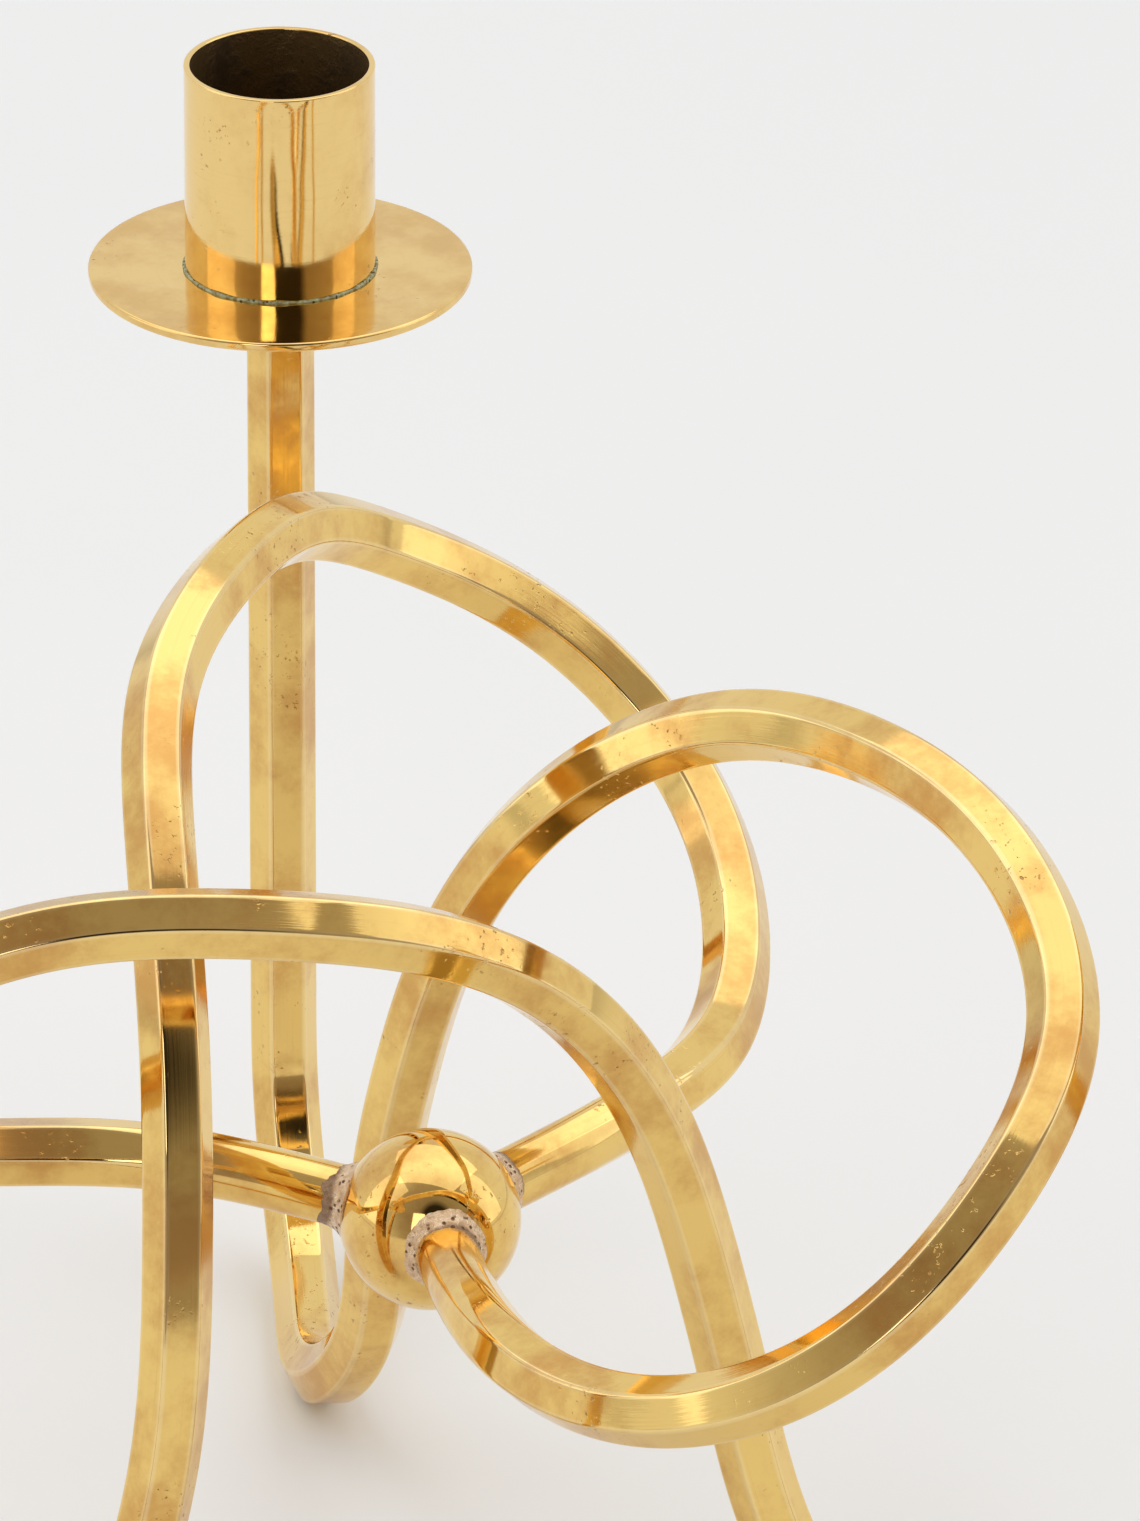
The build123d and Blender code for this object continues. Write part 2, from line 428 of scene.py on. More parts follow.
# No point may sink into the table: the underside of the foot is filed flat there.
bar[:, :, 2] = np.maximum(bar[:, :, 2], 0)
lengthwise = np.broadcast_to(along[keep][:, None, None], (*outline.shape[:2], 1))
laid = np.concatenate([lengthwise, outline], 2)
# On the bars the mark is 1 on the edges away from the dressed end; there the colour is painted paler,
# partly for polishing wear and partly as a painted highlight along each edge.
on_edge = np.tile(np.arange(CORNER_STEPS + FLAT_STEPS) < CORNER_STEPS, 6).astype(float)
edge_mark = on_edge[None] * (1 - dressed[keep])[:, None]

# Adding the arm's number to the laid coordinate gives each arm scratches of its own.
bars = {}
for number in ARMS:
    bars[number] = skin(f"bar_{number}", turned(bar, number), laid + number, edge_mark)
    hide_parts(f"arm_{number}")
print("bar faces", len(bars[1].data.polygons))

# %% [markdown]
# ## The ball
# A turned and buffed ball is a mirror, and a mirror shows every flat of a mesh. So its skin is a
# fine lathe surface, whose radius at each latitude is the ball's radius times the cosine of the
# latitude. Blender's own sphere has the same form but carries no laid coordinate.

# %% A lathe for round pieces
AROUND = 160
FIRST_RAY = math.atan2(0.31, -0.95)
LAID_RADIUS = 12 * MM


def lathe(profile, centre):
    """Rows of points from a profile of (radius, height) pairs turned about an upright axis.

    A point is the centre, plus the height upwards, plus the radius along a ray that turns by t
    from FIRST_RAY. Its laid coordinate is the length along the profile, then cos t and sin t
    times LAID_RADIUS, which meet again after a full turn.
    """
    profile = np.asarray(profile, float)
    t = np.arange(AROUND) * 2 * math.pi / AROUND
    ring = np.stack([np.cos(FIRST_RAY + t), np.sin(FIRST_RAY + t), 0 * t], -1)
    upward = np.array([0, 0, 1.0])
    rows = (
        np.asarray(centre)
        + profile[:, 1, None, None] * upward
        + profile[:, 0, None, None] * ring[None]
    )
    lengths = length_along(profile)[:, None]
    flat = np.stack(np.broadcast_arrays(lengths, LAID_RADIUS * np.cos(t), LAID_RADIUS * np.sin(t)), -1)
    return rows, flat, t


print("points in each ring:", AROUND)

# %% The ball itself
BALL_RADIUS = 11.0 * MM
LATITUDES = 92
latitude = np.linspace(-math.pi / 2, math.pi / 2, LATITUDES)[1:-1]
ball_profile = BALL_RADIUS * np.stack([np.cos(latitude), np.sin(latitude)], -1)
ball_rows, ball_laid, _ = lathe(ball_profile, BALL_CENTRE)
ball = skin("hub_ball", ball_rows, ball_laid)
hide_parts("ball")
print("ball width", round(ball.dimensions.x / MM, 1), "mm")

# %% [markdown]
# ## The braze beads
# Filler metal runs into the corner between bar and ball and freezes in lumps, with pits where
# flux boiled out. A plain ring would look machined, and sculpting by hand can't be repeated. So a
# hollow-sided ring is pushed in and out by a sum of waves round the joint: its edge wanders over
# the ball on one side and up the bar on the other. Each joint draws its waves from its own seed.

# %% The shape of one bead
BEAD_FOOT = 6.3 * MM
BEAD_RISE = 2.1 * MM
BEAD_ROWS = 26
BEAD_WAVES = (2, 3, 5, 8, 13)
FOOT_WANDER, TOP_WANDER, BELLY_WANDER = 0.42 * MM, 0.55 * MM, 0.12 * MM
LUMP_HEIGHT = 0.05 * MM
INTO_BALL = 0.12 * MM
ROD_SHARE = 0.98
HOLLOW, CLIMB = 1.9, 1.25


def wander(draw, t):
    """A sum of sine waves in t, with sizes and starts drawn at random, longer waves larger."""
    order = np.array(BEAD_WAVES)[:, None]
    size = draw.uniform(0.3, 1, (len(order), 1)) / order**0.8
    return (size * np.sin(order * t + draw.uniform(0, 6.3, (len(order), 1)))).sum(0)


def bead_rows(seed):
    """Radius and height of a hollow-sided ring between the ball's skin and the bar.

    Along the profile, share q runs from the ball (0) to the bar (1). The radius falls from
    the foot to the bar along a power curve, and the height is the ball's own height at the
    foot, rising to the end on the bar. Foot, top and belly all wander with t round the joint.
    """
    q = np.linspace(0, 1, BEAD_ROWS)[:, None]
    t = np.arange(AROUND)[None] * 2 * math.pi / AROUND
    draw = np.random.default_rng(seed)
    swell = wander(draw, t)
    climb = wander(draw, t)
    belly = np.sin(math.pi * q)
    foot = BEAD_FOOT + FOOT_WANDER * swell[None]
    top = BALL_RADIUS + BEAD_RISE + TOP_WANDER * climb[None]
    rod = BAR_FLATS / 2 * ROD_SHARE
    radius = rod + (foot - rod) * (1 - q) ** HOLLOW + BELLY_WANDER * belly**2 * swell[None]
    base = np.sqrt(BALL_RADIUS**2 - foot**2) - INTO_BALL
    height = base + (top - base) * q**CLIMB
    lumps = LUMP_HEIGHT * np.sin(9 * t + 11 * q) * belly * np.cos(17 * t - 7 * q)
    return radius + lumps, height, q, t


print("waves round a bead:", BEAD_WAVES)

# %% Three beads
SEED_STEP = 7
# The brim is dark where the bead thins out on the ball, and again where it meets the bar.
DARK_ON_BALL, DARK_ON_BAR = (0.02, 0.14), (0.60, 0.76)

u_bead = np.cross(HEADING, (0, 0, 1.0))
u_bead /= np.linalg.norm(u_bead)
v_bead = np.cross(HEADING, u_bead)
beads = {}
for number in ARMS:
    radius, height, q, t = bead_rows(number * SEED_STEP)
    rows = (
        BALL_CENTRE
        + height[:, :, None] * HEADING
        + radius[:, :, None] * (np.cos(t)[:, :, None] * u_bead + np.sin(t)[:, :, None] * v_bead)
    )
    flat = np.stack(np.broadcast_arrays(height, LAID_RADIUS * np.cos(t), LAID_RADIUS * np.sin(t)), -1)
    brim = 1 - smooth_step(*DARK_ON_BALL, q) + smooth_step(*DARK_ON_BAR, q) + 0 * t
    beads[number] = skin(f"bead_{number}", turned(rows, number), flat, brim)
    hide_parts(f"braze_{number}")
print("beads", len(beads), "with", len(beads[1].data.polygons), "faces each")

# %% [markdown]
# ## Trays, cups and their solder
# The drip tray is a disc cut from sheet, its edge just broken, and never perfectly flat after
# soldering. The candle cup is a thin straight tube with a floor. Cylinders with a bevel could
# stand for both; here they are lathe surfaces, whose profiles run from the middle out, round the
# edge and back, so that their rims are truly round where the light catches them.

# %% Helpers for profiles
def rounded(path, radius, steps=6):
    """Outline of (r, z) corners with each inner corner replaced by an arc of that radius."""
    path = np.asarray(path, float)
    out = [path[:1]]
    for before, corner, after in zip(path, path[1:], path[2:]):
        a = (before - corner) / np.linalg.norm(before - corner)
        b = (after - corner) / np.linalg.norm(after - corner)
        half = math.acos(np.clip(a @ b, -1, 1)) / 2
        reach = radius / math.tan(half)
        centre = corner + (a + b) / np.linalg.norm(a + b) * radius / math.sin(half)
        t = np.linspace(0, 1, steps)[:, None]
        ray = (corner + a * reach - centre) * (1 - t) + (corner + b * reach - centre) * t
        out.append(centre + radius * ray / np.linalg.norm(ray, axis=1)[:, None])
    out.append(path[-1:])
    return np.concatenate(out)


def filled_in(path, gap=1.2 * MM):
    """The same outline with more points on its long straights, evenly spaced."""
    parts = []
    for a, b in zip(path, path[1:]):
        count = max(1, math.ceil(np.linalg.norm(b - a) / gap))
        parts.append(a + (b - a) * np.arange(count)[:, None] / count)
    return np.concatenate(parts + [path[-1:]])


# %% The profiles of tray and cup
TRAY_LOW, TRAY_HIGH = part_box("drip_tray_1")
CUP_LOW, CUP_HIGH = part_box("candle_cup_1")
TRAY_BOTTOM, TRAY_TOP, CUP_RIM = TRAY_LOW.z, TRAY_HIGH.z, CUP_HIGH.z
TRAY_RADIUS = (TRAY_HIGH.x - TRAY_LOW.x) / 2
CUP_RADIUS = (CUP_HIGH.x - CUP_LOW.x) / 2
CUP_WALL = 0.8 * MM
CUP_FLOOR_TOP = TRAY_TOP + 2.7 * MM
DISH_RADIUS, DISH_DEPTH = 4.0 * MM, 0.3 * MM
AXIS_GAP = 0.3 * MM
TRAY_EDGE_ROUND = 0.35 * MM
CUP_EDGE_ROUND = 0.18 * MM

tray_path = filled_in(rounded(
    [
        (AXIS_GAP, TRAY_BOTTOM),
        (TRAY_RADIUS, TRAY_BOTTOM),
        (TRAY_RADIUS, TRAY_TOP),
        (AXIS_GAP, TRAY_TOP),
    ],
    TRAY_EDGE_ROUND,
))
cup_path = filled_in(rounded(
    [
        (AXIS_GAP, TRAY_TOP),
        (CUP_RADIUS, TRAY_TOP),
        (CUP_RADIUS, CUP_RIM),
        (CUP_RADIUS - CUP_WALL, CUP_RIM),
        (CUP_RADIUS - CUP_WALL, CUP_FLOOR_TOP),
        (DISH_RADIUS, CUP_FLOOR_TOP),
        (AXIS_GAP, CUP_FLOOR_TOP - DISH_DEPTH),
    ],
    CUP_EDGE_ROUND,
))
print("tray radius", round(TRAY_RADIUS / MM, 1), "mm; cup radius", round(CUP_RADIUS / MM, 1), "mm")

# %% [markdown]
# A thin line of solder fills the corner where the cup stands on its tray. It is a ring of small
# round section, whose thickness wanders a little, because solder creeps further in some places.

# %% The shape of a solder line
STEM_FOOT = np.array([STEM[0] * MM, STEM[1] * MM, 0])
SOLDER_ROUND = 0.24 * MM
SOLDER_OFFSET = 0.08 * MM
SOLDER_STEPS = 13


def solder_rows(number):
    """Rows and laid coordinates of a ring of solder about the stem, with its ends joined.

    Angle t runs round the stem and bend runs round the section. The section's radius is
    SOLDER_ROUND times a creep that is 1 plus two small waves in t, another for each arm.
    """
    t = np.arange(AROUND) * 2 * math.pi / AROUND
    bend = np.linspace(0, 2 * math.pi, SOLDER_STEPS + 1)[:-1, None]
    ring = np.stack([np.cos(t), np.sin(t), 0 * t], -1)
    creep = 1 + 0.25 * np.sin(7 * t + number) * np.sin(3 * t) + 0.15 * np.sin(19 * t)
    r = (CUP_RADIUS + SOLDER_OFFSET + SOLDER_ROUND * np.cos(bend) * creep).T
    z = (TRAY_TOP + SOLDER_OFFSET + SOLDER_ROUND * np.sin(bend) * creep).T
    seam = STEM_FOOT + r[:, :, None] * ring[:, None] + z[:, :, None] * np.array([0, 0, 1.0])
    about = LAID_RADIUS * ring[:, None, :2]
    flat = np.stack(np.broadcast_arrays(r, about[:, :, 0], about[:, :, 1]), -1)
    return np.concatenate([seam, seam[:1]]), np.concatenate([flat, flat[:1]])


print("points in a solder line:", AROUND * SOLDER_STEPS)

# %% Make three of each
BOW_OF_TWO, BOW_OF_THREE = 0.06 * MM, 0.03 * MM

trays, cups, solders = {}, {}, {}
for number in ARMS:
    rows, flat, t = lathe(tray_path, STEM_FOOT)
    bow = BOW_OF_TWO * np.sin(2 * t + number) + BOW_OF_THREE * np.sin(3 * t + 2 * number)
    rows[:, :, 2] += bow * (tray_path[:, :1] / TRAY_RADIUS) ** 3
    trays[number] = skin(f"tray_{number}", turned(rows, number), flat + number)
    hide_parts(f"drip_tray_{number}")

    rows, flat, _ = lathe(cup_path, STEM_FOOT)
    cups[number] = skin(f"cup_{number}", turned(rows, number), flat + number)
    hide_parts(f"candle_cup_{number}")

    rows, flat = solder_rows(number)
    solders[number] = skin(f"solder_line_{number}", turned(rows, number), flat)
    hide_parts(f"cup_solder_{number}")
print("faces: tray, cup, solder", [len(made[1].data.polygons) for made in (trays, cups, solders)])

# %% [markdown]
# ## Finishes
# Old brass is polished by hand, so its shine is uneven. An effect that comes back in several
# finishes is a node group, made once: tarnish in clouds and specks, the fine scratches of
# polishing laid along the work, the slow waves of a surface that no machine has trued, and the
# crust that molten metal leaves. Each material then mixes them in its own shares.

# %% Helpers for node groups
def new_group(name, inputs, outputs):
    """An empty shader group with float or vector sockets, and its entry and exit nodes."""
    group = bpy.data.node_groups.new(name, "ShaderNodeTree")
    for label, kind, value in inputs:
        socket = group.interface.new_socket(name=label, in_out="INPUT", socket_type=kind)
        if value is not None:
            socket.default_value = value
    for label in outputs:
        group.interface.new_socket(name=label, in_out="OUTPUT", socket_type="NodeSocketFloat")
    return group, group.nodes.new("NodeGroupInput"), group.nodes.new("NodeGroupOutput")


def put(tree, kind, **values):
    """A new node of that kind, with its settings or input sockets set by name."""
    node = tree.nodes.new(kind)
    for key, value in values.items():
        if hasattr(node, key):
            setattr(node, key, value)
        else:
            node.inputs[key.replace("_", " ")].default_value = value
    return node


def math_node(tree, operation, first, second):
    """operation of two values, each a number or an output socket."""
    node = put(tree, "ShaderNodeMath", operation=operation)
    for socket, value in zip(node.inputs, (first, second)):
        if isinstance(value, (int, float)):
            socket.default_value = value
        else:
            tree.links.new(value, socket)
    return node.outputs[0]


def ranged(tree, value, low, high, to_low=0.0, to_high=1.0):
    """value stretched so that low becomes to_low and high becomes to_high, smoothly."""
    node = put(tree, "ShaderNodeMapRange", interpolation_type="SMOOTHSTEP")
    tree.links.new(value, node.inputs["Value"])
    for label, number in zip(("From Min", "From Max", "To Min", "To Max"), (low, high, to_low, to_high)):
        node.inputs[label].default_value = number
    return node.outputs["Result"]


# %% Tarnish: clouds of brown haze, and specks
HAZE_EDGES = (0.41, 0.66)
SPECK_EDGES = (0.62, 0.74)
PATCH_EDGES = (0.54, 0.64)
PATCH_SIZE = 85.0

tarnish, t_in, t_out = new_group(
    "tarnish",
    [
        ("Place", "NodeSocketVector", None),
        ("Cloud size", "NodeSocketFloat", 40.0),
        ("Speck size", "NodeSocketFloat", 700.0),
    ],
    ["Clouds", "Specks"],
)
haze = put(tarnish, "ShaderNodeTexNoise", Detail=6.0, Roughness=0.68)
dots = put(tarnish, "ShaderNodeTexNoise", Detail=3.0, Roughness=0.5)
patch = put(tarnish, "ShaderNodeTexNoise", Scale=PATCH_SIZE, Detail=2.0)
for noise in (haze, dots, patch):
    tarnish.links.new(t_in.outputs["Place"], noise.inputs["Vector"])
tarnish.links.new(t_in.outputs["Cloud size"], haze.inputs["Scale"])
tarnish.links.new(t_in.outputs["Speck size"], dots.inputs["Scale"])
tarnish.links.new(ranged(tarnish, haze.outputs["Fac"], *HAZE_EDGES), t_out.inputs["Clouds"])
speck = math_node(
    tarnish, "MULTIPLY",
    ranged(tarnish, dots.outputs["Fac"], *SPECK_EDGES),
    ranged(tarnish, patch.outputs["Fac"], *PATCH_EDGES),
)
tarnish.links.new(speck, t_out.inputs["Specks"])
print("group", tarnish.name)

# %% Scratches laid along the work
MARK_EDGES = (0.55, 0.75)

scratches, s_in, s_out = new_group(
    "polishing_scratches",
    [("Laid", "NodeSocketVector", None), ("Stretch", "NodeSocketVector", (30.0, 3000.0, 3000.0))],
    ["Height", "Marks"],
)
stretched = put(scratches, "ShaderNodeVectorMath", operation="MULTIPLY")
scratches.links.new(s_in.outputs["Laid"], stretched.inputs[0])
scratches.links.new(s_in.outputs["Stretch"], stretched.inputs[1])
hair = put(scratches, "ShaderNodeTexNoise", Scale=1.0, Detail=4.0, Roughness=0.7)
scratches.links.new(stretched.outputs[0], hair.inputs["Vector"])
scratches.links.new(hair.outputs["Fac"], s_out.inputs["Height"])
scratches.links.new(ranged(scratches, hair.outputs["Fac"], *MARK_EDGES), s_out.inputs["Marks"])
print("group", scratches.name)

# %% Slow waves left by hand buffing
buffing, b_in, b_out = new_group(
    "hand_buffing",
    [("Place", "NodeSocketVector", None), ("Wave size", "NodeSocketFloat", 60.0)],
    ["Height"],
)
swell_noise = put(buffing, "ShaderNodeTexNoise", Detail=1.0, Roughness=0.4)
buffing.links.new(b_in.outputs["Place"], swell_noise.inputs["Vector"])
buffing.links.new(b_in.outputs["Wave size"], swell_noise.inputs["Scale"])
buffing.links.new(swell_noise.outputs["Fac"], b_out.inputs["Height"])
print("group", buffing.name)

# %% A crust of lumps and pits
PIT_EDGES = (0.34, 0.18)
PITTED_EDGES = (0.40, 0.50)
PITTED_SIZE_SHARE = 0.5
PIT_SHARE = 0.8

crust, c_in, c_out = new_group(
    "crust",
    [("Place", "NodeSocketVector", None), ("Lump size", "NodeSocketFloat", 1100.0)],
    ["Lumps", "Pits", "Relief"],
)
lump = put(crust, "ShaderNodeTexNoise", Detail=6.0, Roughness=0.7)
holes = put(crust, "ShaderNodeTexVoronoi", Randomness=1.0)
spread = put(crust, "ShaderNodeTexNoise", Detail=1.0)
for noise in (lump, holes, spread):
    crust.links.new(c_in.outputs["Place"], noise.inputs["Vector"])
for noise in (lump, holes):
    crust.links.new(c_in.outputs["Lump size"], noise.inputs["Scale"])
pitted_size = math_node(crust, "MULTIPLY", c_in.outputs["Lump size"], PITTED_SIZE_SHARE)
crust.links.new(pitted_size, spread.inputs["Scale"])
pits = math_node(
    crust, "MULTIPLY",
    ranged(crust, holes.outputs["Distance"], *PIT_EDGES),
    ranged(crust, spread.outputs["Fac"], *PITTED_EDGES),
)
relief = math_node(crust, "SUBTRACT", lump.outputs["Fac"], math_node(crust, "MULTIPLY", pits, PIT_SHARE))
for output, value in {"Lumps": lump.outputs["Fac"], "Pits": pits, "Relief": relief}.items():
    crust.links.new(value, c_out.inputs[output])
print("group", crust.name)

# %% [markdown]
# ### Bright brass
# The bars, the ball and the sheet are the same alloy, polished in different ways: bars along
# their length, the ball and the sheet on a wheel. So one function makes the finish, and each
# piece gives its own gloss, its own direction of scratches and its own slow waves. One shared
# material would be shorter, but would scratch the ball lengthwise like a bar.

# %% Helpers for materials
def new_finish(name, metallic):
    """A new material with its node tree, its shader and a socket for the place in space."""
    material = bpy.data.materials.new(name)
    material.use_nodes = True
    tree = material.node_tree
    shader = tree.nodes["Principled BSDF"]
    shader.inputs["Metallic"].default_value = metallic
    return material, tree, shader, tree.nodes.new("ShaderNodeTexCoord").outputs["Object"]


def placed_group(tree, group, **values):
    """One use of a shared group, with its input values set by name."""
    node = put(tree, "ShaderNodeGroup", node_tree=group)
    for key, value in values.items():
        node.inputs[key.replace("_", " ")].default_value = value
    return node


def blended(tree, mask, first, second):
    """first where the mask is 0 and second where it is 1, each a colour or an output socket."""
    node = put(tree, "ShaderNodeMix", data_type="RGBA")
    tree.links.new(mask, node.inputs["Factor"])
    for label, value in (("A", first), ("B", second)):
        if isinstance(value, tuple):
            node.inputs[label].default_value = (*value, 1)
        else:
            tree.links.new(value, node.inputs[label])
    return node.outputs["Result"]


# %% A brass finish with its own values
FRESH = (0.89, 0.62, 0.205)
WARM = (0.68, 0.38, 0.115)
SPECK = (0.28, 0.14, 0.05)
# Pale colour for the bar edges: partly polishing wear, partly a painted highlight along each edge.
RUBBED_AND_HIGHLIT = (0.98, 0.84, 0.52)
SHEET_FRESH = (0.91, 0.65, 0.26)
SHEET_WARM = (0.74, 0.45, 0.15)
CLOUD_SIZE, SPECK_SIZE = 55.0, 1400.0
MARK_TINTS, SPECK_TINTS, RUB_AND_HIGHLIGHT_TINTS = 0.25, 0.7, 0.28
MARK_DULLS, SPECK_DULLS = 0.05, 0.25
PIT_DEPTH = 0.06 * MM


def brass_finish(
    name, fresh, warm, smooth, hazed, stretch, wave_size, wave_depth, scratch_depth, haze_share=1.0
):
    """Brass whose colour and gloss follow tarnish, edge marks and polishing scratches.

    The colour goes from fresh to warm with the haze, and the roughness from smooth to hazed.
    Scratches and specks then darken and dull it, and on marked edges it turns paler, partly as
    polishing wear and partly as a painted highlight. The bumps are stacked: slow waves first,
    scratches on them, and pits where the specks are.
    """
    material, tree, shader, place = new_finish(name, metallic=1.0)
    laid_at = put(tree, "ShaderNodeAttribute", attribute_name="laid").outputs["Vector"]
    rubbed_and_highlit_at = put(tree, "ShaderNodeAttribute", attribute_name="edge_mark").outputs["Fac"]
    dull = placed_group(tree, tarnish, Cloud_size=CLOUD_SIZE, Speck_size=SPECK_SIZE)
    lines = placed_group(tree, scratches, Stretch=stretch)
    waving = placed_group(tree, buffing, Wave_size=wave_size)
    tree.links.new(place, dull.inputs["Place"])
    tree.links.new(place, waving.inputs["Place"])
    tree.links.new(laid_at, lines.inputs["Laid"])
    clouds = math_node(tree, "MULTIPLY", dull.outputs["Clouds"], haze_share)
    marks, specks = lines.outputs["Marks"], dull.outputs["Specks"]

    colour = blended(tree, clouds, fresh, warm)
    colour = blended(tree, math_node(tree, "MULTIPLY", marks, MARK_TINTS), colour, warm)
    colour = blended(tree, math_node(tree, "MULTIPLY", specks, SPECK_TINTS), colour, SPECK)
    # The marked edges are painted paler: partly polishing wear, partly a painted highlight.
    colour = blended(tree, math_node(tree, "MULTIPLY", rubbed_and_highlit_at, RUB_AND_HIGHLIGHT_TINTS), colour, RUBBED_AND_HIGHLIT)
    tree.links.new(colour, shader.inputs["Base Color"])

    dullness = math_node(tree, "MULTIPLY", clouds, hazed - smooth)
    dullness = math_node(tree, "ADD", dullness, smooth)
    dullness = math_node(tree, "ADD", dullness, math_node(tree, "MULTIPLY", specks, SPECK_DULLS))
    dullness = math_node(tree, "ADD", dullness, math_node(tree, "MULTIPLY", marks, MARK_DULLS))
    tree.links.new(dullness, shader.inputs["Roughness"])

    wave_bump = put(tree, "ShaderNodeBump", Distance=wave_depth)
    scratch_bump = put(tree, "ShaderNodeBump", Distance=scratch_depth)
    pit_bump = put(tree, "ShaderNodeBump", Distance=PIT_DEPTH, invert=True)
    tree.links.new(waving.outputs["Height"], wave_bump.inputs["Height"])
    tree.links.new(lines.outputs["Height"], scratch_bump.inputs["Height"])
    tree.links.new(specks, pit_bump.inputs["Height"])
    tree.links.new(wave_bump.outputs["Normal"], scratch_bump.inputs["Normal"])
    tree.links.new(scratch_bump.outputs["Normal"], pit_bump.inputs["Normal"])
    tree.links.new(pit_bump.outputs["Normal"], shader.inputs["Normal"])
    return material


bar_brass = brass_finish(
    "bar_brass", FRESH, WARM, smooth=0.045, hazed=0.14, stretch=(25.0, 2600.0, 2600.0),
    wave_size=45.0, wave_depth=0.6 * MM, scratch_depth=0.004 * MM,
)
ball_brass = brass_finish(
    "ball_brass", FRESH, WARM, smooth=0.02, hazed=0.09, stretch=(900.0, 60.0, 60.0),
    wave_size=90.0, wave_depth=0.3 * MM, scratch_depth=0.002 * MM,
)
sheet_brass = brass_finish(
    "sheet_brass", SHEET_FRESH, SHEET_WARM, smooth=0.06, hazed=0.16, stretch=(3500.0, 90.0, 90.0),
    wave_size=70.0, wave_depth=0.3 * MM, scratch_depth=0.004 * MM, haze_share=0.75,
)
for number in ARMS:
    bars[number].data.materials.append(bar_brass)
    trays[number].data.materials.append(sheet_brass)
    cups[number].data.materials.append(sheet_brass)
ball.data.materials.append(ball_brass)
print("finishes", [m.name for m in bpy.data.materials])

# %% [markdown]
# ### Inside the cup
# The wall below the rim and the floor, inside the cup, take a darker and duller finish than the
# outside. A separate lining would need a piece that the real cup doesn't have, so the faces are
# chosen one by one instead, from each face's distance to the stem's axis and its height. The
# screws, which no cloth reaches, take a finish like it.

# %% A dark, dull finish
SOOT = (0.03, 0.02, 0.012)
SOOT_SPECK_SIZE = 1300.0
DULLER = 0.2
SOOT_DEPTH = 0.1 * MM


def dark_finish(name, light, dark, roughness, cloud_size):
    """A dull metal whose colour moves between two tones in clouds, with specks of soot."""
    material, tree, shader, place = new_finish(name, metallic=0.85)
    dull = placed_group(tree, tarnish, Cloud_size=cloud_size, Speck_size=SOOT_SPECK_SIZE)
    tree.links.new(place, dull.inputs["Place"])
    clouds = dull.outputs["Clouds"]
    colour = blended(tree, clouds, light, dark)
    colour = blended(tree, dull.outputs["Specks"], colour, SOOT)
    tree.links.new(colour, shader.inputs["Base Color"])
    dullness = ranged(tree, clouds, 0, 1, roughness, roughness + DULLER)
    tree.links.new(dullness, shader.inputs["Roughness"])
    bump = put(tree, "ShaderNodeBump", Distance=SOOT_DEPTH)
    tree.links.new(clouds, bump.inputs["Height"])
    tree.links.new(bump.outputs["Normal"], shader.inputs["Normal"])
    return material


cup_inside = dark_finish("cup_inside", (0.34, 0.22, 0.09), (0.11, 0.07, 0.035), 0.34, 120.0)
screw_brass = dark_finish("screw_brass", (0.42, 0.28, 0.11), (0.15, 0.09, 0.04), 0.40, 300.0)
print("dark finishes:", cup_inside.name, screw_brass.name)

# %% Darken the inside of each cup, and the screws
WALL_SHARE = 0.9
ABOVE_TRAY, BELOW_RIM = 1 * MM, 0.3 * MM

for number in ARMS:
    cup_mesh = cups[number].data
    cup_mesh.materials.append(cup_inside)
    middles = np.empty(len(cup_mesh.polygons) * 3)
    cup_mesh.polygons.foreach_get("center", middles)
    # Turning on by the rest of a full turn brings every cup back to where the first one stands.
    middles = turned(middles.reshape(-1, 3), len(ARMS) + 2 - number) - STEM_FOOT
    inside = np.hypot(middles[:, 0], middles[:, 1]) < CUP_RADIUS - WALL_SHARE * CUP_WALL
    inside &= (middles[:, 2] > TRAY_TOP + ABOVE_TRAY) & (middles[:, 2] < CUP_RIM - BELOW_RIM)
    cup_mesh.polygons.foreach_set("material_index", inside.astype(np.int32))
    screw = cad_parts[f"cup_screw_{number}"]
    screw.data.materials.clear()
    screw.data.materials.append(screw_brass)
print("dark faces in a cup", int(inside.sum()))
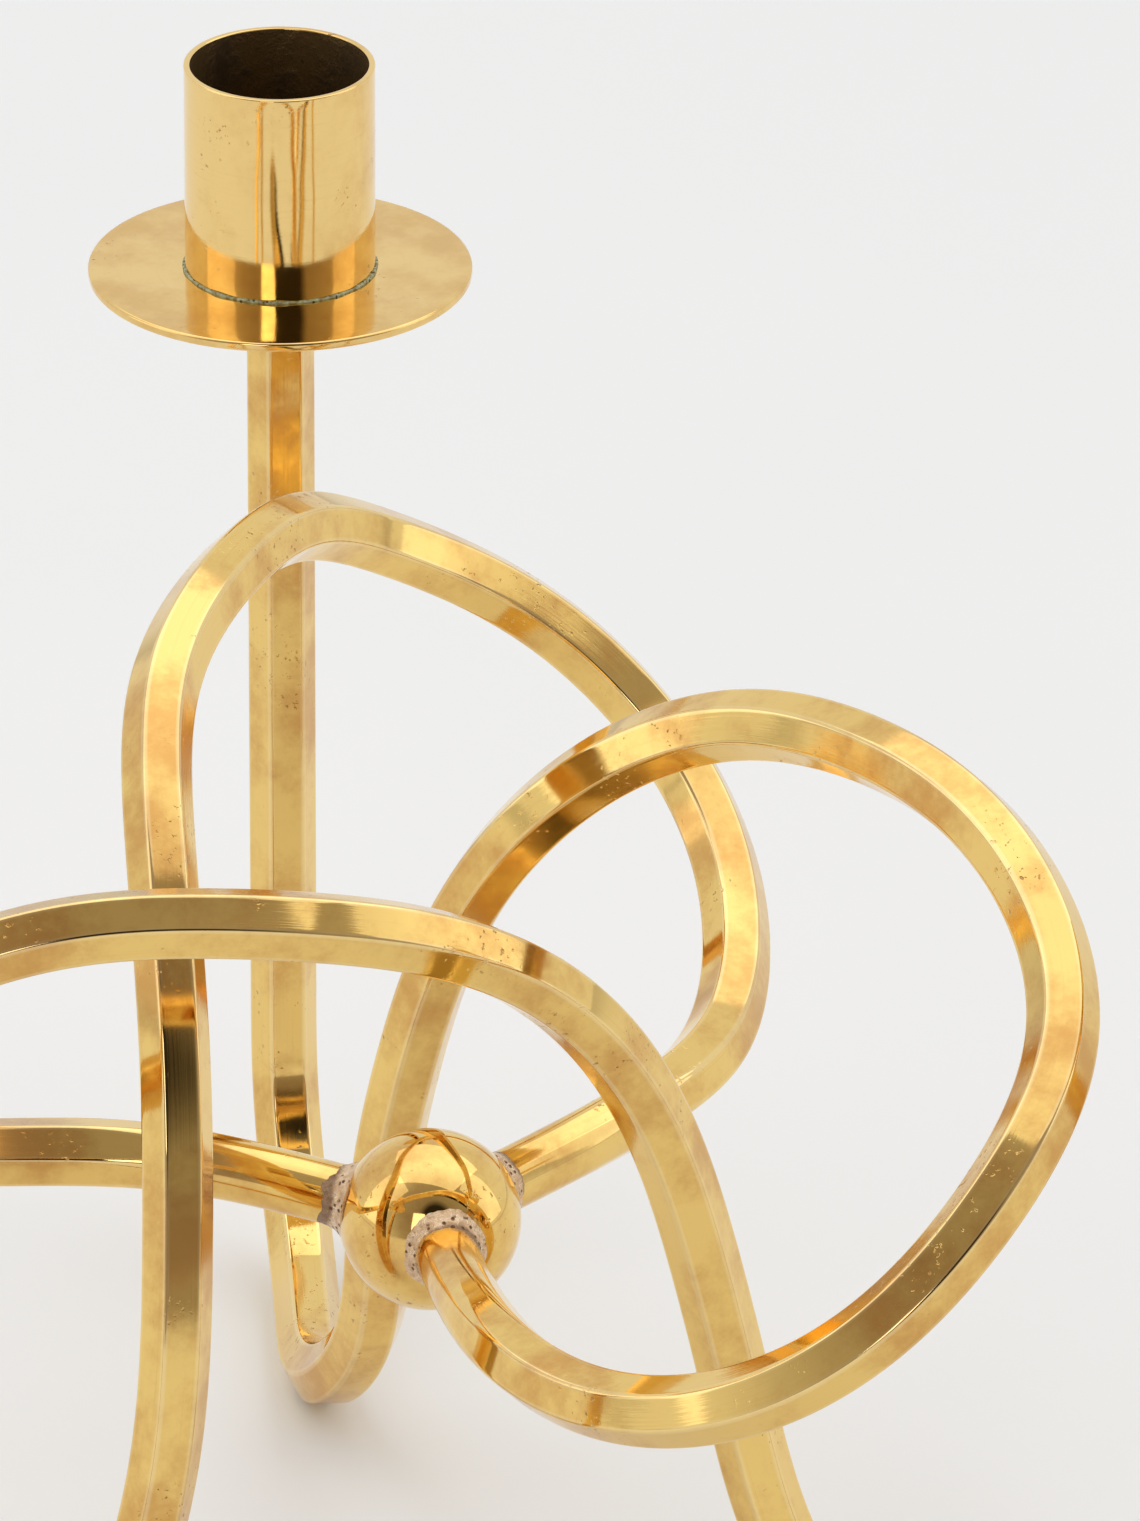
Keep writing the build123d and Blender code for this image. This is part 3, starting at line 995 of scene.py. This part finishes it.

# %% [markdown]
# ### Braze and solder
# Braze is paler and pinker than the bar, because its zinc burned off, and it is dull and pitted.
# The solder line has gone green where polish and damp have sat in the corner. Both are the same
# crust in other colours and sizes, so one function makes them. On a bead, "edge_mark" marks the
# brims, where flux has burned dark.

# %% Pitted braze, green solder
TONE_EDGES = (0.38, 0.62)
DULL_EDGES = (0.3, 0.7)
HOLLOWS_DULLER, LUMPS_GLOSSIER = 0.15, 0.1
BRIM_TINTS = 0.75


def crusted_finish(name, high, low, pit, metallic, roughness, size, depth):
    """A rough crust: one tone on its lumps, one in its hollows, and dark round pits."""
    material, tree, shader, place = new_finish(name, metallic)
    rough = placed_group(tree, crust, Lump_size=size)
    tree.links.new(place, rough.inputs["Place"])
    lumps = rough.outputs["Lumps"]
    brim_at = put(tree, "ShaderNodeAttribute", attribute_name="edge_mark").outputs["Fac"]
    colour = blended(tree, ranged(tree, lumps, *TONE_EDGES), low, high)
    colour = blended(tree, rough.outputs["Pits"], colour, pit)
    colour = blended(tree, math_node(tree, "MULTIPLY", brim_at, BRIM_TINTS), colour, pit)
    tree.links.new(colour, shader.inputs["Base Color"])
    dullness = ranged(
        tree, lumps, *DULL_EDGES, roughness + HOLLOWS_DULLER, roughness - LUMPS_GLOSSIER
    )
    tree.links.new(dullness, shader.inputs["Roughness"])
    bump = put(tree, "ShaderNodeBump", Distance=depth)
    tree.links.new(rough.outputs["Relief"], bump.inputs["Height"])
    tree.links.new(bump.outputs["Normal"], shader.inputs["Normal"])
    return material


braze_finish = crusted_finish(
    "braze_metal", high=(0.90, 0.72, 0.52), low=(0.68, 0.46, 0.28), pit=(0.16, 0.07, 0.03),
    metallic=0.75, roughness=0.30, size=1100.0, depth=0.3 * MM,
)
solder_finish = crusted_finish(
    "green_solder", high=(0.52, 0.60, 0.42), low=(0.30, 0.24, 0.10), pit=(0.08, 0.05, 0.02),
    metallic=0.3, roughness=0.6, size=1500.0, depth=0.1 * MM,
)
for number in ARMS:
    beads[number].data.materials.append(braze_finish)
    solders[number].data.materials.append(solder_finish)
print("crusted finishes:", braze_finish.name, solder_finish.name)
